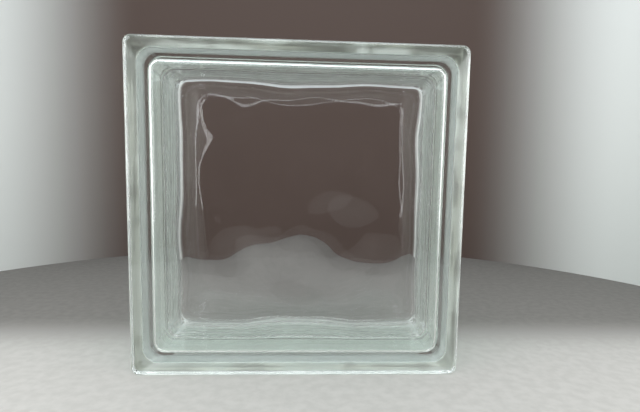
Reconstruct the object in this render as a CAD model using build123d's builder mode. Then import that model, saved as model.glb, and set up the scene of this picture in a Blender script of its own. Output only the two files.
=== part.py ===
from build123d import *
from math import cos, pi, radians, sin, tan
import os

# Hollow glass block: two pressed halves of clear glass, fused at the middle into one piece.
# X is the width, Y the depth and Z the height, with the front face towards -Y.
# The origin is the middle of the underside, so the block stands on z = 0.
# All sizes are millimetres and all angles are degrees.

# Overall size
face_width = 190.0
face_height = 190.0
block_depth = 80.0

# Rim of each face
face_corner_radius = 4.5
face_edge_radius = 2.0
lip_depth = 9.0
lip_back_radius = 1.0

# Mortar channel round the four sides
channel_depth = 5.0
channel_draft = 1.2
channel_corner_radius = 8.0
channel_foot_radius = 2.0
shoulder_run = 3.5

# Glass thickness, and the sealed hollow that the plunger leaves
face_glass = 8.6
wall_glass = 6.0
hollow_draft = 1.8
hollow_corner_radius = 8.0
hollow_edge_radius = 3.5

# Fused seam round the middle, which stands proud outside and inside
seam_width = 5.0
seam_height = 1.0
inner_seam_width = 3.6
inner_seam_height = 0.7

# Wavy inside of each face: swells that cross one another, each shorter than the last, which die
# away towards a narrow flat rim
swell_count = 4
swell_length = 80.0
swell_shrink = 0.72
swell_slope = 0.06
swell_turn = 124.0
swell_phase = 114.0
swell_border = 38.0
swell_grid = 5.5
flat_rim = 2.0

# How near to a distance from the seam an edge counts as lying on it
edge_reach = 0.01

# The seam plane stands upright through the middle, and its distances run towards the front
half_depth = block_depth / 2
seam_plane = Plane(origin=(0, 0, face_height / 2), x_dir=(1, 0, 0), z_dir=(0, -1, 0))
lip_back = half_depth - lip_depth
channel_foot = lip_back - shoulder_run
seam_inset = channel_depth + channel_foot * tan(radians(channel_draft))
hollow_reach = half_depth - face_glass
hollow_inset = channel_depth + wall_glass
hollow_seam_inset = hollow_inset - hollow_reach * tan(radians(hollow_draft))
wavy_inset = hollow_inset + hollow_edge_radius + flat_rim
wavy_width = face_width - 2 * wavy_inset
wavy_height = face_height - 2 * wavy_inset


# Rounded outline of the block, drawn inside its full size by an inset
def inset_outline(inset, corner_radius):
    return RectangleRounded(face_width - 2 * inset, face_height - 2 * inset, corner_radius)


# The edges of a form that lie at one distance from the seam
def edges_at(form, distance):
    return form.edges().filter_by_position(Axis.Y, -distance - edge_reach, -distance + edge_reach)


# How far the swells have grown at a distance from the flat rim, from 0 to 1
def swell_growth(distance):
    share = min(1.0, max(0.0, distance / swell_border))
    return share * share * (3 - 2 * share)


# Rise of the wavy surface at a place on the face, measured from the middle of the block
def swell_height(across, up):
    height = 0.0
    length = swell_length
    for swell in range(swell_count):
        heading = radians(swell * swell_turn)
        travel = (across * cos(heading) + up * sin(heading)) / length
        phase = radians((swell + 1) ** 2 * swell_phase)
        height += swell_slope * length / (2 * pi) * sin(2 * pi * travel + phase)
        length *= swell_shrink
    across_growth = swell_growth(wavy_width / 2 - abs(across))
    up_growth = swell_growth(wavy_height / 2 - abs(up))
    return height * across_growth * up_growth


# A grid of points that the smooth wavy surface runs through
def swell_points():
    columns = round(wavy_width / swell_grid)
    rows = round(wavy_height / swell_grid)
    points = []
    for row in range(rows + 1):
        up = wavy_height * (row / rows - 1 / 2)
        line = []
        for column in range(columns + 1):
            across = wavy_width * (column / columns - 1 / 2)
            reach = hollow_reach + swell_height(across, up)
            line.append(seam_plane.from_local_coords((across, up, reach)))
        points.append(line)
    return points


# A bead of fused glass along an outline that lies in the seam plane
def seam_bead(outline, width, height):
    path = outline.sketch.wire()
    with BuildPart() as bead:
        with BuildSketch(Plane(origin=path @ 0, x_dir=(0, 1, 0), z_dir=path % 0)):
            with BuildLine():
                SagittaArc((-width / 2, 0), (width / 2, 0), height)
                SagittaArc((-width / 2, 0), (width / 2, 0), -height)
            make_face()
        sweep(path=path)
    return bead.part


# Outside of one half: channel, shoulder and lip, from the seam to the front face
with BuildPart() as half_form:
    with BuildSketch(seam_plane) as channel_middle:
        inset_outline(seam_inset, channel_corner_radius)
    with BuildSketch(seam_plane.offset(channel_foot)):
        inset_outline(channel_depth, channel_corner_radius)
    with BuildSketch(seam_plane.offset(lip_back)):
        inset_outline(0, face_corner_radius)
    with BuildSketch(seam_plane.offset(half_depth)):
        inset_outline(0, face_corner_radius)
    loft(ruled=True)
    fillet(edges_at(half_form, half_depth), radius=face_edge_radius)
    fillet(edges_at(half_form, lip_back), radius=lip_back_radius)
    fillet(edges_at(half_form, channel_foot), radius=channel_foot_radius)

# Half of the hollow: the plunger's form, with a rounded edge round its flat end
with BuildPart() as plunger:
    with BuildSketch(seam_plane) as hollow_middle:
        inset_outline(hollow_seam_inset, hollow_corner_radius)
    extrude(amount=hollow_reach)
    draft(plunger.faces().filter_by(Axis.Y, reverse=True), seam_plane, hollow_draft)
    fillet(edges_at(plunger, hollow_reach), radius=hollow_edge_radius)

# The same form with the wavy surface in the middle of its end, inside a flat rim
flat_end = plunger.faces().sort_by(Axis.Y)[0]
wavy_end = Face.make_surface_from_array_of_points(swell_points())
end_rim = flat_end.make_holes([wavy_end.outer_wire()])
plunger_sides = [face for face in plunger.faces() if face != flat_end]
wavy_plunger = Solid(Shell(plunger_sides + [end_rim, wavy_end]))

# One pressed half, open at the seam
with BuildPart() as half_block:
    add(half_form)
    add(wavy_plunger, mode=Mode.SUBTRACT)

# The whole block: the same pressing twice, back to back, with the glass of the seam
with BuildPart() as glass_block:
    add(half_block)
    add(half_block.part.rotate(Axis.Z, 180))
    add(seam_bead(channel_middle, seam_width, seam_height))
    add(seam_bead(hollow_middle, inner_seam_width, inner_seam_height))

glass_block.part.label = "glass_block"
os.makedirs("parts", exist_ok=True)
export_step(glass_block.part, "parts/glass_block.step")
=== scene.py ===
from math import acos, cos, hypot, pi, radians, sin, tan

import bmesh
import bpy
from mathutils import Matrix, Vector


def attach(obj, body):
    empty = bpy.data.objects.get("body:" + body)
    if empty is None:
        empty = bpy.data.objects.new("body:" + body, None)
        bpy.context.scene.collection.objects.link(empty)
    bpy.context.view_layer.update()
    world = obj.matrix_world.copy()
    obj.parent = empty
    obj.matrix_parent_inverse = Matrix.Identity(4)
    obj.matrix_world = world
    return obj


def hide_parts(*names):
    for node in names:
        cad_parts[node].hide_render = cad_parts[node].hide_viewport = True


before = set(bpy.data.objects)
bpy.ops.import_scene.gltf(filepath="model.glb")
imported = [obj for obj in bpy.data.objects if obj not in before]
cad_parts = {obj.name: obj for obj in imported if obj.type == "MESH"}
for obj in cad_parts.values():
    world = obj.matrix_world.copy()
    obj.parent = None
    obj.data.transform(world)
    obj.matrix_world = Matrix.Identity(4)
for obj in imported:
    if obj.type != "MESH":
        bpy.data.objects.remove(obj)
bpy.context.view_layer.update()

# Sizes of the block in metres and degrees, as in the part's source, and the steps of its mesh
glassBlock = {
    "width": 0.190,
    "height": 0.190,
    "depth": 0.080,
    "faceCorner": 0.0045,
    "faceEdge": 0.0020,
    "lipDepth": 0.0090,
    "lipBackEdge": 0.0010,
    "channelDepth": 0.0050,
    "channelDraft": 1.2,
    "channelCorner": 0.0080,
    "channelFoot": 0.0020,
    "shoulderRun": 0.0035,
    "faceGlass": 0.0086,
    "wallGlass": 0.0060,
    "hollowDraft": 1.8,
    "hollowCorner": 0.0080,
    "hollowEdge": 0.0035,
    "seamWidth": 0.0050,
    "seamHeight": 0.0010,
    "innerSeamWidth": 0.0036,
    "innerSeamHeight": 0.0007,
    "flatRim": 0.0020,
    "sideSteps": 60,
    "cornerSteps": 12,
    "bendSteps": 8,
    "lipBendSteps": 4,
    "hollowBendSteps": 10,
    "seamRunSteps": 3,
    "channelRunSteps": 4,
    "shoulderRunSteps": 2,
    "wallRunSteps": 8,
    "support": 0.0003,
}


def bend(before, corner, after, radius, steps):
    # Points of the round that joins two straight runs of a profile
    a = [before[k] - corner[k] for k in (0, 1)]
    b = [after[k] - corner[k] for k in (0, 1)]
    a = [value / hypot(*a) for value in a]
    b = [value / hypot(*b) for value in b]
    opening = acos(a[0] * b[0] + a[1] * b[1])
    reach = radius / tan(opening / 2)
    middle = [a[k] + b[k] for k in (0, 1)]
    far = radius / sin(opening / 2) / hypot(*middle)
    centre = [corner[k] + middle[k] * far for k in (0, 1)]
    first = [corner[k] + a[k] * reach - centre[k] for k in (0, 1)]
    last = [corner[k] + b[k] * reach - centre[k] for k in (0, 1)]
    sweep = pi - opening
    points = []
    for step in range(steps + 1):
        t = step / steps
        p, q = sin((1 - t) * sweep) / sin(sweep), sin(t * sweep) / sin(sweep)
        points.append([centre[k] + first[k] * p + last[k] * q for k in (0, 1)])
    return points


def between(first, last, steps):
    # Points inside a straight run of a profile
    shares = [step / steps for step in range(1, steps)]
    return [[first[k] + (last[k] - first[k]) * share for k in (0, 1)] for share in shares]


# Distances from the seam at which the numbers of the finishes change, and the loose film of coat
coatBands = {
    "seamReach": 0.0114,
    "shoulderReach": 0.0260,
    "lipReach": 0.0313,
    "filmGap": 0.0001,
    "film": 0.00015,
}


def outsideProfile(block, bands):
    # From the seam to the front face: distance from the seam, inset and corner radius
    half = block["depth"] / 2
    lipBack = half - block["lipDepth"]
    foot = lipBack - block["shoulderRun"]
    slope = tan(radians(block["channelDraft"]))
    seamInset = block["channelDepth"] + foot * slope
    steps = block["bendSteps"]
    profile = []
    for step in range(steps):
        angle = pi / 2 * step / steps
        rise = block["seamHeight"] * cos(angle)
        reach = block["seamWidth"] / 2 * sin(angle)
        profile.append((reach, seamInset - rise, block["channelCorner"] + rise))
    floorStart = [block["seamWidth"] / 2, seamInset - block["seamWidth"] / 2 * slope]
    floorEnd = [foot, block["channelDepth"]]
    lipStart = [lipBack, 0.0]
    footBend = bend(floorStart, floorEnd, lipStart, block["channelFoot"], steps)
    lipBend = bend(floorEnd, lipStart, [half, 0.0], block["lipBackEdge"], block["lipBendSteps"])
    edgeBend = bend(lipStart, [half, 0.0], [half, half], block["faceEdge"], steps)
    support = block["support"]
    seamEnd = [bands["seamReach"], floorStart[1] - (bands["seamReach"] - floorStart[0]) * slope]
    run = [floorStart, [floorStart[0] + support, floorStart[1]]]
    run += between(floorStart, seamEnd, block["seamRunSteps"]) + [seamEnd]
    run += between(seamEnd, footBend[0], block["channelRunSteps"]) + footBend
    run += between(footBend[-1], lipBend[0], block["shoulderRunSteps"]) + lipBend
    widening = (block["channelCorner"] - block["faceCorner"]) / block["channelDepth"]
    for reach, inset in run:
        onFloor = reach <= footBend[0][0]
        corner = block["channelCorner"] if onFloor else block["faceCorner"] + widening * inset
        profile.append((reach, inset, corner))
    # The ring at lipReach stands 0.2 mm behind the end of the lip's round, so the skin folds back there
    edge = [[bands["lipReach"], 0.0], [edgeBend[0][0] - support, 0.0]] + edgeBend
    edge += [[half, block["faceEdge"] + support]]
    for reach, inset in edge:
        profile.append((reach, inset, block["faceCorner"] - inset))
    return profile


def hollowProfile(block):
    # From the seam to the wavy end of the hollow, in the same terms
    reach = block["depth"] / 2 - block["faceGlass"]
    inset = block["channelDepth"] + block["wallGlass"]
    slope = tan(radians(block["hollowDraft"]))
    seamInset = inset - reach * slope
    steps = block["bendSteps"]
    profile = []
    for step in range(steps):
        angle = pi / 2 * step / steps
        rise = block["innerSeamHeight"] * cos(angle)
        profile.append((block["innerSeamWidth"] / 2 * sin(angle), seamInset + rise))
    wallStart = [block["innerSeamWidth"] / 2, seamInset + block["innerSeamWidth"] / 2 * slope]
    wallEnd = [reach, inset]
    endMiddle = [reach, inset + reach]
    edgeBend = bend(wallStart, wallEnd, endMiddle, block["hollowEdge"], block["hollowBendSteps"])
    support = block["support"]
    run = [wallStart, [wallStart[0] + support, wallStart[1]]]
    run += between(wallStart, edgeBend[0], block["wallRunSteps"]) + edgeBend
    run.append([reach, edgeBend[-1][1] + support])
    profile += [tuple(point) for point in run]
    corner = block["hollowCorner"]
    return [(far, inside, corner - (inside - seamInset)) for far, inside in profile]


def ringPoints(block, inset, corner):
    # A rounded rectangle, starting at its lower left corner and going round to the right
    across, up = block["width"] / 2 - inset - corner, block["height"] / 2 - inset - corner
    centres = [(-across, -up), (across, -up), (across, up), (-across, up)]
    halfCorner = block["cornerSteps"] // 2
    steps = block["sideSteps"] + block["cornerSteps"]
    points = []
    for side in range(4):
        here, there = centres[side], centres[(side + 1) % 4]
        flat = radians(270 + 90 * side)
        for step in range(steps):
            if step <= halfCorner:
                angle = flat - radians(45) * (1 - step / halfCorner)
                points.append((here[0] + corner * cos(angle), here[1] + corner * sin(angle)))
            elif step >= steps - halfCorner:
                angle = flat + radians(45) * (step - steps + halfCorner) / halfCorner
                points.append((there[0] + corner * cos(angle), there[1] + corner * sin(angle)))
            else:
                t = (step - halfCorner) / block["sideSteps"]
                x = here[0] + (there[0] - here[0]) * t + corner * cos(flat)
                z = here[1] + (there[1] - here[1]) * t + corner * sin(flat)
                points.append((x, z))
    return points


def growth(distance, border):
    # How far the waves have grown at a distance from the flat rim, from 0 to 1
    share = min(1.0, max(0.0, distance / border))
    return share * share * (3 - 2 * share)


class Shell:
    # One closed skin of the block, made of rings round its sides that are joined one to the next
    def __init__(self, block):
        self.block = block
        self.mesh = bmesh.new()
        self.share = self.mesh.verts.layers.float.new("swellShare")
        self.side = self.mesh.verts.layers.float.new("swellSide")
        self.number = self.mesh.verts.layers.float.new("finishNumber")
        self.middle = block["height"] / 2

    def vert(self, x, y, z, share=0.0, number=0.0):
        made = self.mesh.verts.new((x, y, z + self.middle))
        made[self.share] = share
        made[self.side] = 1.0 if y > 0 else -1.0
        made[self.number] = number
        return made

    def ring(self, y, inset, corner, number=0.0):
        outline = ringPoints(self.block, inset, corner)
        return [self.vert(x, y, z, number=number) for x, z in outline]

    def join(self, first, second):
        count = len(first)
        for k in range(count):
            self.mesh.faces.new((first[k], first[(k + 1) % count], second[(k + 1) % count], second[k]))

    def grid(self, ring, y, shareAt):
        # Fills a ring with a square grid whose lines meet the ring's own points
        steps = len(ring) // 4
        xs = [ring[k].co.x for k in range(steps + 1)]
        zs = [ring[steps + k].co.z - self.middle for k in range(steps + 1)]
        rows = [[None] * (steps + 1) for _ in range(steps + 1)]
        for k in range(steps):
            rows[0][k] = ring[k]
            rows[k][steps] = ring[steps + k]
            rows[steps][steps - k] = ring[2 * steps + k]
            rows[steps - k][0] = ring[3 * steps + k]
        for row in range(1, steps):
            for column in range(1, steps):
                x, z = xs[column], zs[row]
                rows[row][column] = self.vert(x, y, z, shareAt(x, z))
        for row in range(steps):
            for column in range(steps):
                low, high = rows[row], rows[row + 1]
                self.mesh.faces.new((low[column], low[column + 1], high[column + 1], high[column]))

    def finish(self, inward):
        # Turns the faces so that they look out of the glass, which is inwards in the hollow
        bmesh.ops.recalc_face_normals(self.mesh, faces=self.mesh.faces[:])
        if inward:
            bmesh.ops.reverse_faces(self.mesh, faces=self.mesh.faces[:])
        return self.mesh


# Finishes of the glass, in the order of their numbers on the mesh
glassNames = ("Glass", "Channel Glass", "Shoulder Glass", "Seam Glass", "Film")


def outsideShell(block, bands):
    # The glass from the front face to the back face. A strip between two bands has the finish at the
    # mean of their numbers, so the sides of the lips have that of the channel.
    shell = Shell(block)
    profile = outsideProfile(block, bands)
    stations = [(-reach, inset, corner) for reach, inset, corner in reversed(profile)]
    stations += [(reach, inset, corner) for reach, inset, corner in profile[1:]]
    limits = (bands["seamReach"], bands["shoulderReach"], bands["lipReach"])
    bandNames = ("Seam Glass", "Channel Glass", "Shoulder Glass", "Glass")
    rings = []
    for station in stations:
        reach = abs(station[0]) - block["support"] / 2
        name = bandNames[sum(reach > limit for limit in limits)]
        rings.append(shell.ring(*station, float(glassNames.index(name))))
    for first, second in zip(rings, rings[1:]):
        shell.join(first, second)
    shell.mesh.faces.new(rings[0])
    shell.mesh.faces.new(rings[-1])
    return shell.finish(inward=False)


def filmShell(block, bands):
    # The dry film of coat that lies loosely round the channel and its shoulders, as a thin closed ring
    shell = Shell(block)
    number = float(glassNames.index("Film"))
    depth = bands["filmGap"] + bands["film"]
    near = [station for station in outsideProfile(block, bands) if station[0] <= bands["lipReach"]]
    stations = [(-reach, inset, corner) for reach, inset, corner in reversed(near)] + near[1:]
    loops = []
    for rise, run in ((bands["filmGap"], stations), (depth, reversed(stations))):
        loops += [shell.ring(y, inset - rise, corner + rise, number) for y, inset, corner in run]
    for first, second in zip(loops, loops[1:] + loops[:1]):
        shell.join(first, second)
    return shell.finish(inward=False)


def hollowShell(block, swells):
    # The inside of the glass, with a grid at each end for the waves
    shell = Shell(block)
    profile = hollowProfile(block)
    whole = [(-reach, inset, corner) for reach, inset, corner in reversed(profile)] + profile[1:]
    rings = [shell.ring(*station) for station in whole]
    for first, second in zip(rings, rings[1:]):
        shell.join(first, second)
    edge = block["channelDepth"] + block["wallGlass"] + block["hollowEdge"] + block["flatRim"]
    across, up = block["width"] / 2 - edge, block["height"] / 2 - edge

    def shareAt(x, z):
        return growth(across - abs(x), swells["border"]) * growth(up - abs(z), swells["border"])

    shell.grid(rings[0], whole[0][0], shareAt)
    shell.grid(rings[-1], whole[-1][0], shareAt)
    return shell.finish(inward=True)


def mathNode(tree, operation, *values):
    # A Math node whose inputs are numbers or other nodes' outputs
    node = tree.nodes.new("ShaderNodeMath")
    node.operation = operation
    for index, value in enumerate(values):
        if hasattr(value, "node"):
            tree.links.new(value, node.inputs[index])
        else:
            node.inputs[index].default_value = value
    return node.outputs[0]


# Waves on the inside of each face: lengths in metres, and turns and phases in degrees
blockSwells = {
    "count": 4,
    "length": 0.080,
    "shrink": 0.72,
    "slope": 0.060,
    "turn": 124.0,
    "phase": 114.0,
    "border": 0.038,
}


def swellTree(swells):
    # Lifts the wavy ends of the hollow by swells that cross one another, and sets the finishes
    tree = bpy.data.node_groups.new("blockSwells", "GeometryNodeTree")
    tree.interface.new_socket("Geometry", in_out="INPUT", socket_type="NodeSocketGeometry")
    for name in ("Length", "Shrink", "Slope", "Turn", "Phase", "Middle"):
        tree.interface.new_socket(name, in_out="INPUT", socket_type="NodeSocketFloat")
    for name in glassNames:
        tree.interface.new_socket(name, in_out="INPUT", socket_type="NodeSocketMaterial")
    tree.interface.new_socket("Geometry", in_out="OUTPUT", socket_type="NodeSocketGeometry")
    given = tree.nodes.new("NodeGroupInput").outputs
    result = tree.nodes.new("NodeGroupOutput")
    split = tree.nodes.new("ShaderNodeSeparateXYZ")
    tree.links.new(tree.nodes.new("GeometryNodeInputPosition").outputs[0], split.inputs[0])
    named = {}
    for name in ("swellShare", "swellSide", "finishNumber"):
        read = tree.nodes.new("GeometryNodeInputNamedAttribute")
        read.data_type = "FLOAT"
        read.inputs["Name"].default_value = name
        named[name] = read.outputs["Attribute"]
    facing = mathNode(tree, "MULTIPLY", named["swellSide"], -1.0)
    across = mathNode(tree, "MULTIPLY", split.outputs[0], facing)
    up = mathNode(tree, "SUBTRACT", split.outputs[2], given["Middle"])
    turn = mathNode(tree, "RADIANS", given["Turn"])
    phase = mathNode(tree, "RADIANS", given["Phase"])
    height = 0.0
    for swell in range(swells["count"]):
        shrunk = mathNode(tree, "POWER", given["Shrink"], float(swell))
        length = mathNode(tree, "MULTIPLY", given["Length"], shrunk)
        heading = mathNode(tree, "MULTIPLY", turn, float(swell))
        along = mathNode(tree, "MULTIPLY", across, mathNode(tree, "COSINE", heading))
        rising = mathNode(tree, "MULTIPLY", up, mathNode(tree, "SINE", heading))
        along = mathNode(tree, "ADD", along, rising)
        travel = mathNode(tree, "MULTIPLY", mathNode(tree, "DIVIDE", along, length), 2 * pi)
        start = mathNode(tree, "MULTIPLY", phase, float((swell + 1) ** 2))
        wave = mathNode(tree, "SINE", mathNode(tree, "ADD", travel, start))
        size = mathNode(tree, "DIVIDE", mathNode(tree, "MULTIPLY", given["Slope"], length), 2 * pi)
        height = mathNode(tree, "ADD", height, mathNode(tree, "MULTIPLY", wave, size))
    outwards = mathNode(tree, "MULTIPLY", named["swellShare"], named["swellSide"])
    height = mathNode(tree, "MULTIPLY", height, outwards)
    offset = tree.nodes.new("ShaderNodeCombineXYZ")
    tree.links.new(height, offset.inputs[1])
    lift = tree.nodes.new("GeometryNodeSetPosition")
    tree.links.new(given["Geometry"], lift.inputs["Geometry"])
    tree.links.new(offset.outputs[0], lift.inputs["Offset"])
    real = tree.nodes.new("GeometryNodeRealizeInstances")
    tree.links.new(lift.outputs[0], real.inputs[0])
    made = real.outputs[0]
    rounding = 0.5  # each finish takes the faces whose mean number is over its own less this
    for number, name in enumerate(glassNames):
        finish = tree.nodes.new("GeometryNodeSetMaterial")
        tree.links.new(made, finish.inputs["Geometry"])
        tree.links.new(given[name], finish.inputs["Material"])
        reached = mathNode(tree, "GREATER_THAN", named["finishNumber"], number - rounding)
        tree.links.new(reached, finish.inputs["Selection"])
        made = finish.outputs[0]
    tree.links.new(made, result.inputs[0])
    return tree


def setInputs(modifier, values):
    # A modifier's inputs are set by their sockets' identifiers
    for item in modifier.node_group.interface.items_tree:
        if item.item_type == "SOCKET" and item.in_out == "INPUT" and item.name in values:
            modifier[item.identifier] = values[item.name]


def makeGlassBody(block, swells, bands, glasses):
    # The outside, the hollow and the film as one mesh, with the waves applied
    whole = outsideShell(block, bands)
    for skin in (hollowShell(block, swells), filmShell(block, bands)):
        spare = bpy.data.meshes.new("skinForm")
        skin.to_mesh(spare)
        whole.from_mesh(spare)
        bpy.data.meshes.remove(spare)
    mesh = bpy.data.meshes.new("glassBodyForm")
    whole.to_mesh(mesh)
    rough = bpy.data.objects.new("glassBodyForm", mesh)
    bpy.context.scene.collection.objects.link(rough)
    modifier = rough.modifiers.new("Swells", "NODES")
    modifier.node_group = swellTree(swells)
    setInputs(modifier, dict(zip(glassNames, glasses)) | {
        "Length": swells["length"],
        "Shrink": swells["shrink"],
        "Slope": swells["slope"],
        "Turn": swells["turn"],
        "Phase": swells["phase"],
        "Middle": block["height"] / 2,
    })
    evaluated = rough.evaluated_get(bpy.context.evaluated_depsgraph_get())
    plain = bpy.data.meshes.new_from_object(evaluated)
    plain.name = "glassBody"
    body = bpy.data.objects.new("glassBody", plain)
    bpy.context.scene.collection.objects.link(body)
    bpy.data.objects.remove(rough)
    for polygon in plain.polygons:
        polygon.use_smooth = True
    return body


def rangeNode(tree, value, low, high, toLow=0.0, toHigh=1.0):
    # A soft change of a value from one level to another
    node = tree.nodes.new("ShaderNodeMapRange")
    node.interpolation_type = "SMOOTHSTEP"
    for name, number in (("From Min", low), ("From Max", high), ("To Min", toLow), ("To Max", toHigh)):
        node.inputs[name].default_value = number
    tree.links.new(value, node.inputs["Value"])
    return node.outputs["Result"]


def mixNode(tree, share, first, second):
    # A colour between two others, which are colours or other nodes' outputs
    node = tree.nodes.new("ShaderNodeMix")
    node.data_type = "RGBA"
    tree.links.new(share, node.inputs["Factor"])
    for name, value in (("A", first), ("B", second)):
        socket = next(item for item in node.inputs if item.name == name and item.type == "RGBA")
        if hasattr(value, "node"):
            tree.links.new(value, socket)
        else:
            socket.default_value = value
    return node.outputs["Result"]


def noiseNode(tree, place, scale, detail=2.0):
    node = tree.nodes.new("ShaderNodeTexNoise")
    tree.links.new(place, node.inputs["Vector"])
    node.inputs["Scale"].default_value = scale
    node.inputs["Detail"].default_value = detail
    return node.outputs[0]


def centredPlace(tree, middle):
    # Object coordinates measured from a given height
    coordinates = tree.nodes.new("ShaderNodeTexCoord")
    mapping = tree.nodes.new("ShaderNodeMapping")
    mapping.inputs["Location"].default_value = (0.0, 0.0, -middle)
    tree.links.new(coordinates.outputs["Object"], mapping.inputs["Vector"])
    return mapping.outputs[0]


def streakGroup():
    # Marks drawn out along the four sides: along X at the top and bottom, along Z at the left and right
    tree = bpy.data.node_groups.new("streaks", "ShaderNodeTree")
    tree.interface.new_socket("Place", in_out="INPUT", socket_type="NodeSocketVector")
    tree.interface.new_socket("Along", in_out="INPUT", socket_type="NodeSocketFloat")
    tree.interface.new_socket("Across", in_out="INPUT", socket_type="NodeSocketFloat")
    tree.interface.new_socket("Value", in_out="OUTPUT", socket_type="NodeSocketFloat")
    given = tree.nodes.new("NodeGroupInput").outputs
    result = tree.nodes.new("NodeGroupOutput")
    split = tree.nodes.new("ShaderNodeSeparateXYZ")
    tree.links.new(given["Place"], split.inputs[0])
    detail = 3.0
    marks = []
    for long in (0, 2):
        drawn = tree.nodes.new("ShaderNodeCombineXYZ")
        for axis in range(3):
            scale = given["Along"] if axis == long else given["Across"]
            tree.links.new(mathNode(tree, "MULTIPLY", split.outputs[axis], scale), drawn.inputs[axis])
        marks.append(noiseNode(tree, drawn.outputs[0], 1.0, detail))
    sideways = mathNode(tree, "ABSOLUTE", split.outputs[0])
    upwards = mathNode(tree, "ABSOLUTE", split.outputs[2])
    turn = 0.004  # the marks turn this near to a corner's diagonal, in metres
    side = rangeNode(tree, mathNode(tree, "SUBTRACT", sideways, upwards), -turn, turn)
    change = mathNode(tree, "MULTIPLY", mathNode(tree, "SUBTRACT", marks[1], marks[0]), side)
    tree.links.new(mathNode(tree, "ADD", marks[0], change), result.inputs[0])
    return tree


def streaks(tree, place, along, across):
    node = tree.nodes.new("ShaderNodeGroup")
    node.node_tree = bpy.data.node_groups.get("streaks") or streakGroup()
    tree.links.new(place, node.inputs["Place"])
    node.inputs["Along"].default_value = along
    node.inputs["Across"].default_value = across
    return node.outputs["Value"]


def bumpNode(tree, height, distance):
    node = tree.nodes.new("ShaderNodeBump")
    node.inputs["Strength"].default_value = 1.0
    node.inputs["Distance"].default_value = distance
    tree.links.new(height, node.inputs["Height"])
    return node


# The glass itself
clearGlass = {
    "colour": (1.0, 1.0, 1.0, 1.0),
    "refraction": 1.52,
    "polish": 0.0,
    "tint": (0.40, 0.87, 0.83, 1.0),
    "tintDepth": 0.26,
    "shadowTint": (0.90, 0.92, 0.91, 1.0),
    "middle": 0.095,
    "wallReach": 0.0290,
    "ripple": 0.00020,
    "rippleScale": (12.0, 420.0),
    "wave": 0.00002,
    "waveScale": 110.0,
    "wallFade": 0.002,
    "marks": 0.05,
    "markRange": (0.50, 0.72),
    "markScale": 45.0,
    "markDetail": 6.0,
}


def makeGlass(name, finish):
    # Clear glass that light passes through from the lamps, with a faint tint in its depth
    material = bpy.data.materials.new(name)
    material.use_nodes = True
    nodes, links = material.node_tree.nodes, material.node_tree.links
    nodes.clear()
    output = nodes.new("ShaderNodeOutputMaterial")
    shader = nodes.new("ShaderNodeBsdfPrincipled")
    shader.inputs["Base Color"].default_value = finish["colour"]
    shader.inputs["Roughness"].default_value = finish["polish"]
    shader.inputs["IOR"].default_value = finish["refraction"]
    shader.inputs["Transmission Weight"].default_value = 1.0
    path = nodes.new("ShaderNodeLightPath")
    through = nodes.new("ShaderNodeBsdfTransparent")
    through.inputs["Color"].default_value = finish["shadowTint"]
    either = nodes.new("ShaderNodeMath")
    either.operation = "MAXIMUM"
    links.new(path.outputs["Is Shadow Ray"], either.inputs[0])
    links.new(path.outputs["Is Diffuse Ray"], either.inputs[1])
    mix = nodes.new("ShaderNodeMixShader")
    links.new(either.outputs[0], mix.inputs[0])
    links.new(shader.outputs[0], mix.inputs[1])
    links.new(through.outputs[0], mix.inputs[2])
    links.new(mix.outputs[0], output.inputs["Surface"])
    depth = nodes.new("ShaderNodeVolumeAbsorption")
    depth.inputs["Color"].default_value = finish["tint"]
    depth.inputs["Density"].default_value = finish["tintDepth"]
    links.new(depth.outputs[0], output.inputs["Volume"])
    return material, shader


def polishGlass(material, shader, finish):
    # Faint ripples and handling marks on the faces, and mould ripples along the side walls of the hollow
    tree = material.node_tree
    place = centredPlace(tree, finish["middle"])
    split = tree.nodes.new("ShaderNodeSeparateXYZ")
    tree.links.new(place, split.inputs[0])
    depth = mathNode(tree, "ABSOLUTE", split.outputs[1])
    inside = rangeNode(tree, depth, finish["wallReach"], finish["wallReach"] - finish["wallFade"])
    ripples = mathNode(tree, "MULTIPLY", streaks(tree, place, *finish["rippleScale"]), inside)
    walls = bumpNode(tree, ripples, finish["ripple"])
    faces = bumpNode(tree, noiseNode(tree, place, finish["waveScale"]), finish["wave"])
    tree.links.new(walls.outputs[0], faces.inputs["Normal"])
    tree.links.new(faces.outputs[0], shader.inputs["Normal"])
    smudges = noiseNode(tree, place, finish["markScale"], finish["markDetail"])
    marks = rangeNode(tree, smudges, *finish["markRange"], 0.0, finish["marks"])
    tree.links.new(marks, shader.inputs["Roughness"])


# The dull pale coat in the mortar channel: where it touches the glass, and its loose film
channelCoat = {
    "channelClear": 0.97,
    "channelRoughness": 0.60,
    "shoulderClear": 0.96,
    "shoulderRoughness": 0.40,
    "seamClear": 0.94,
    "seamRoughness": 0.12,
    "filmClear": 0.58,
    "filmRoughness": 0.90,
    "colour": (0.84, 0.84, 0.81, 1.0),
    # The grey-brown and the near-black colour stain the grime streaks, and paint shade over the whole
    # film on the shoulders
    "dirtAndShade": (0.58, 0.56, 0.49, 1.0),
    "sootAndShade": (0.16, 0.155, 0.12, 1.0),
    "grime": 0.22,
    "grimeRange": (0.85, 1.35),
    "sootAndShadeRange": (0.90, 1.15),
    "wearRange": (0.85, 1.15),
    "shoulderFade": 0.002,
    "shoulderThin": 0.20,
    "shoulderThick": 0.95,
    "streakScale": (18.0, 300.0),
    "shoulderScale": (14.0, 620.0),
    "patchScale": 55.0,
    "patchDetail": 4.0,
    "grain": 0.0001,
    "grainScale": 900.0,
    "grainDetail": 3.0,
}


def makeCoatedGlass(name, finish, coat, band):
    # The same glass under a dull pale coat that lets part of the light through
    material, shader = makeGlass(name, finish)
    shader.inputs["Base Color"].default_value = coat["colour"]
    shader.inputs["Roughness"].default_value = coat[band + "Roughness"]
    shader.inputs["Transmission Weight"].default_value = coat[band + "Clear"]
    return material, shader


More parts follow.
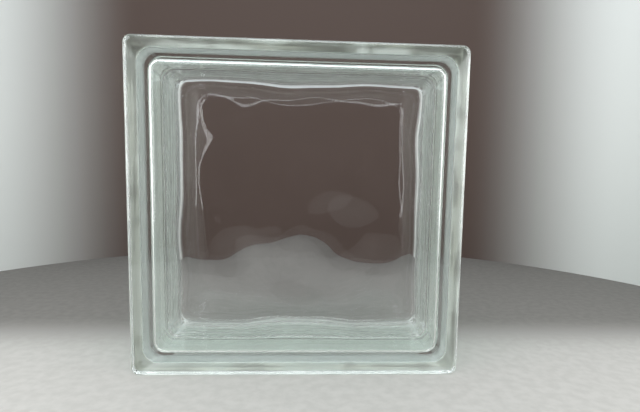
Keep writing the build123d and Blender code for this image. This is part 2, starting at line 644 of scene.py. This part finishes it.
def makeFilm(name, finish, coat, bands):
    # Dry coat with streaks of grime along the channel and worn thin on the shoulders, where a grey-brown
    # and near-black mottle over the whole film is painted shade
    material, shader = makeCoatedGlass(name, finish, coat, "film")
    tree = material.node_tree
    place = centredPlace(tree, finish["middle"])
    split = tree.nodes.new("ShaderNodeSeparateXYZ")
    tree.links.new(place, split.inputs[0])
    depth = mathNode(tree, "ABSOLUTE", split.outputs[1])
    start = bands["shoulderReach"]
    shoulder = rangeNode(tree, depth, start, start + coat["shoulderFade"])
    patches = noiseNode(tree, place, coat["patchScale"], coat["patchDetail"])
    drawn = mathNode(tree, "ADD", streaks(tree, place, *coat["streakScale"]), patches)
    shoulderMottle = mathNode(tree, "ADD", streaks(tree, place, *coat["shoulderScale"]), patches)
    grime = rangeNode(tree, drawn, *coat["grimeRange"])
    # On the shoulders the whole film takes the stain colour as painted shade, mottled; elsewhere only
    # the grime streaks take it
    dirtAndShade = mathNode(tree, "MAXIMUM", mathNode(tree, "MULTIPLY", grime, coat["grime"]), shoulder)
    sootAndShade = rangeNode(tree, shoulderMottle, *coat["sootAndShadeRange"])
    stainAndShade = mixNode(tree, sootAndShade, coat["dirtAndShade"], coat["sootAndShade"])
    tree.links.new(mixNode(tree, dirtAndShade, coat["colour"], stainAndShade), shader.inputs["Base Color"])
    worn = rangeNode(tree, drawn, *coat["wearRange"], coat["shoulderThin"], coat["shoulderThick"])
    thin = mathNode(tree, "MULTIPLY", shoulder, mathNode(tree, "SUBTRACT", 1.0, worn))
    tree.links.new(mathNode(tree, "SUBTRACT", 1.0, thin), shader.inputs["Alpha"])
    grains = noiseNode(tree, place, coat["grainScale"], coat["grainDetail"])
    grain = bumpNode(tree, grains, coat["grain"])
    tree.links.new(grain.outputs[0], shader.inputs["Normal"])
    return material


def plainMaterial(name, colour, roughness):
    material = bpy.data.materials.new(name)
    material.use_nodes = True
    shader = material.node_tree.nodes["Principled BSDF"]
    shader.inputs["Base Color"].default_value = colour
    shader.inputs["Roughness"].default_value = roughness
    return material


# Plain studio round the block
studio = {
    "floorColour": (0.42, 0.405, 0.385, 1.0),
    "wallColour": (0.075, 0.048, 0.039, 1.0),
    "paleColour": (0.75, 0.76, 0.74, 1.0),
    "backFrom": 0.84,
    "backTo": 0.50,
    "frontFrom": 0.80,
    "frontTo": 0.70,
    "shadeColour": (0.15, 0.14, 0.13, 1.0),
    "shadeRun": (-0.01, 0.07),
    "grainColour": (0.25, 0.235, 0.22, 1.0),
    "grain": 0.25,
    "grainRange": (0.3, 0.7),
    "grainScale": 160.0,
    "grainDetail": 5.0,
    "roughness": 0.8,
    "lampAim": (0.0, 0.0, 0.1),
    "radius": 0.42,
    "roundSteps": 128,
    "wallHeight": 0.45,
    "floorDrop": 0.0003,
    "skyColour": (0.92, 0.98, 1.0, 1.0),
    "skyStrength": 0.70,
}


def floorMaterial(room):
    # Pale and finely grained, in half shade behind the block
    material = plainMaterial("studioFloor", room["floorColour"], room["roughness"])
    tree = material.node_tree
    place = centredPlace(tree, 0.0)
    split = tree.nodes.new("ShaderNodeSeparateXYZ")
    tree.links.new(place, split.inputs[0])
    shade = rangeNode(tree, split.outputs[1], *room["shadeRun"])
    tone = mixNode(tree, shade, room["floorColour"], room["shadeColour"])
    specks = noiseNode(tree, place, room["grainScale"], room["grainDetail"])
    grain = rangeNode(tree, specks, *room["grainRange"], 0.0, room["grain"])
    grained = mixNode(tree, grain, tone, room["grainColour"])
    tree.links.new(grained, tree.nodes["Principled BSDF"].inputs["Base Color"])
    return material


def wallMaterial(room):
    # Dark behind the block and behind the camera, and pale at the sides, with soft changes between them
    material = plainMaterial("studioWall", room["wallColour"], room["roughness"])
    tree = material.node_tree
    radius = room["radius"]
    split = tree.nodes.new("ShaderNodeSeparateXYZ")
    tree.links.new(centredPlace(tree, 0.0), split.inputs[0])
    back = rangeNode(tree, split.outputs[1], room["backFrom"] * radius, room["backTo"] * radius)
    front = rangeNode(tree, split.outputs[1], -room["frontFrom"] * radius, -room["frontTo"] * radius)
    pale = mathNode(tree, "MULTIPLY", back, front)
    tone = mixNode(tree, pale, room["wallColour"], room["paleColour"])
    tree.links.new(tone, tree.nodes["Principled BSDF"].inputs["Base Color"])
    return material


def makeStudio(room):
    # A round floor, a round wall about it that faces inwards, and a pale sky
    count = room["roundSteps"]
    floorMesh = bmesh.new()
    bmesh.ops.create_circle(floorMesh, cap_ends=True, segments=count, radius=room["radius"])
    floorData = bpy.data.meshes.new("studioFloor")
    floorMesh.to_mesh(floorData)
    floor = bpy.data.objects.new("studioFloor", floorData)
    floor.location.z = -room["floorDrop"]
    wallMesh = bmesh.new()
    low, high = [], []
    for k in range(count):
        angle = 2 * pi * k / count
        x, y = room["radius"] * cos(angle), room["radius"] * sin(angle)
        low.append(wallMesh.verts.new((x, y, -room["floorDrop"])))
        high.append(wallMesh.verts.new((x, y, room["wallHeight"])))
    for k in range(count):
        wallMesh.faces.new((low[(k + 1) % count], low[k], high[k], high[(k + 1) % count]))
    wallData = bpy.data.meshes.new("studioWall")
    wallMesh.to_mesh(wallData)
    for polygon in wallData.polygons:
        polygon.use_smooth = True
    wall = bpy.data.objects.new("studioWall", wallData)
    floor.data.materials.append(floorMaterial(room))
    wall.data.materials.append(wallMaterial(room))
    for piece in (floor, wall):
        bpy.context.scene.collection.objects.link(piece)
    world = bpy.data.worlds.new("studioSky")
    world.use_nodes = True
    sky = world.node_tree.nodes["Background"]
    sky.inputs["Color"].default_value = room["skyColour"]
    sky.inputs["Strength"].default_value = room["skyStrength"]
    bpy.context.scene.world = world


# Soft lamps: one overhead, a large one in front and above, and one at each side
studioLamps = [
    {
        "name": "highLamp",
        "place": (0.0, 0.0, 0.80),
        "size": (0.5, 0.4),
        "colour": (0.80, 0.93, 1.0),
        "watts": 1.2,
    },
    {
        "name": "frontLamp",
        "place": (0.0, -0.40, 0.80),
        "size": (0.7, 0.4),
        "colour": (0.94, 0.98, 1.0),
        "watts": 4.0,
    },
    {
        "name": "leftLamp",
        "place": (-0.30, -0.20, 0.20),
        "size": (0.2, 0.3),
        "colour": (1.0, 1.0, 1.0),
        "watts": 1.0,
    },
    {
        "name": "rightLamp",
        "place": (0.30, -0.20, 0.20),
        "size": (0.2, 0.3),
        "colour": (1.0, 1.0, 1.0),
        "watts": 0.7,
    },
]


def softLight(lamp, room):
    # A lamp that the camera doesn't see, aimed at the block
    data = bpy.data.lights.new(lamp["name"], "AREA")
    data.shape = "RECTANGLE"
    data.size, data.size_y = lamp["size"]
    data.color = lamp["colour"]
    data.energy = lamp["watts"]
    light = bpy.data.objects.new(lamp["name"], data)
    light.location = lamp["place"]
    aim = Vector(room["lampAim"]) - Vector(lamp["place"])
    light.rotation_euler = aim.to_track_quat("-Z", "Y").to_euler()
    light.visible_camera = False
    bpy.context.scene.collection.objects.link(light)


# Camera at the photograph's place
viewpoint = {
    "place": (0.0069, -0.2927, 0.1166),
    "turn": (84.30, -1.08, -2.84),
    "lens": 25.26,
    "sensor": 36.0,
    "shift": (-0.0208, 0.0223),
    "clip": (0.01, 10.0),
}


def makeCamera(view):
    data = bpy.data.cameras.new("photoCamera")
    data.lens = view["lens"]
    data.sensor_width = view["sensor"]
    data.shift_x, data.shift_y = view["shift"]
    data.clip_start, data.clip_end = view["clip"]
    camera = bpy.data.objects.new("photoCamera", data)
    camera.location = view["place"]
    camera.rotation_euler = [radians(angle) for angle in view["turn"]]
    bpy.context.scene.collection.objects.link(camera)
    bpy.context.scene.camera = camera


makeCamera(viewpoint)
print("camera set")

glass, glassShader = makeGlass("clearGlass", clearGlass)
polishGlass(glass, glassShader, clearGlass)
coated = []
for band in ("channel", "shoulder", "seam"):
    coated.append(makeCoatedGlass(band + "Glass", clearGlass, channelCoat, band)[0])
film = makeFilm("channelFilm", clearGlass, channelCoat, coatBands)
glasses = (glass, *coated, film)
glassBody = makeGlassBody(glassBlock, blockSwells, coatBands, glasses)
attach(glassBody, "root")
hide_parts("glass_block")
print("glass body made,", len(glassBody.data.polygons), "faces")

makeStudio(studio)
for lamp in studioLamps:
    softLight(lamp, studio)
print("studio lit")

# Light turns many times inside the glass before it leaves it
look = bpy.context.scene
glassBounces = 32
look.view_settings.view_transform = "Standard"
look.cycles.max_bounces = glassBounces
look.cycles.transmission_bounces = glassBounces
look.cycles.transparent_max_bounces = glassBounces
look.cycles.diffuse_bounces = 4
look.cycles.caustics_reflective = False
look.cycles.caustics_refractive = False
